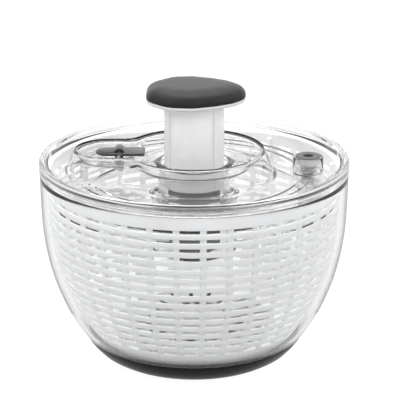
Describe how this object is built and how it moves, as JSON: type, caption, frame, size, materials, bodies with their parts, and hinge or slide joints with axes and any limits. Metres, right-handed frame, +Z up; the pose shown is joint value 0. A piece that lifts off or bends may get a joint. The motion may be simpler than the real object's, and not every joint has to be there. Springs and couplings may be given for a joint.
{
  "type": "salad spinner",
  "caption": "Pump-driven salad spinner: clear bowl and lid around a slotted white basket, with a domed push pad, a lock lever and a brake button.",
  "frame": {"origin": "centre of the base, on the surface it stands on", "axes": "+Z up along the pump's axis, the lock lever towards -X, the brake button towards +X"},
  "size_m": [0.224, 0.224, 0.2024],
  "materials": {
    "clear_bowl": "clear, polished",
    "clear_lid": "clear, polished",
    "foot_rubber": "smooth rubber",
    "basket_white": "satin",
    "light_plastic": "satin",
    "frosted": "frosted",
    "soft_grip": "soft-touch",
    "dark_plastic": "moulded",
    "steel": "drawn wire"
  },
  "bodies": {
    "base": {"bowl": "clear_bowl", "base_ring": "foot_rubber", "pivot_pin": "steel"},
    "basket": {"basket": "basket_white"},
    "lid": {"lid_shell": "clear_lid", "guide_ring": "light_plastic", "retaining_ring": "dark_plastic", "thrust_washer": "steel", "return_spring": "steel", "lever_pin": "steel", "brake_spring": "steel"},
    "pump": {"pump_grip": "soft_grip", "pump_base": "light_plastic", "pump_column": "frosted", "drive_screw": "light_plastic", "pump_screws": "steel"},
    "rotor": {"drive_plate": "clear_lid", "clutch_housing": "dark_plastic", "clutch_cap": "dark_plastic", "hub_screws": "steel"},
    "nut": {"drive_nut": "light_plastic", "drive_pawls": "dark_plastic", "pawl_springs": "steel"},
    "lever": {"lock_lever": "soft_grip"},
    "brake": {"brake_button": "soft_grip", "brake_stem": "light_plastic", "brake_clip": "steel", "brake_pad": "foot_rubber"}
  },
  "joints": [
    {"name": "basket_spin", "type": "hinge", "parent": "base", "child": "basket", "pos_m": [0, 0, 0.017], "axis": [0, 0, 1], "continuous": true},
    {"name": "lid_lift", "type": "slide", "parent": "base", "child": "lid", "axis": [0, 0, 1], "range_m": [0, 0.09]},
    {"name": "pump_press", "type": "slide", "parent": "lid", "child": "pump", "axis": [0, 0, -1], "range_m": [0, 0.044], "stiffness_N_per_m": 220, "springref_m": -0.02, "deforming": ["return_spring"]},
    {"name": "nut_spin", "type": "hinge", "parent": "lid", "child": "nut", "pos_m": [0, 0, 0.12], "axis": [0, 0, 1], "range_deg": [0, 406]},
    {"name": "drive_spin", "type": "hinge", "parent": "lid", "child": "rotor", "pos_m": [0, 0, 0.115], "axis": [0, 0, 1], "continuous": true},
    {"name": "brake_press", "type": "slide", "parent": "lid", "child": "brake", "axis": [0, 0, -1], "range_m": [0, 0.003], "stiffness_N_per_m": 500, "springref_m": -0.003, "deforming": ["brake_spring"]},
    {"name": "lever_lock", "type": "hinge", "parent": "lid", "child": "lever", "pos_m": [-0.054, 0, 0.1506], "axis": [0, 1, 0], "range_deg": [0, 8]}
  ],
  "couplings": [
    {"joint": "nut_spin", "follows": "pump_press", "rad_per_m": 157.08},
    {"joint": "drive_spin", "follows": "basket_spin", "ratio": 1}
  ]
}
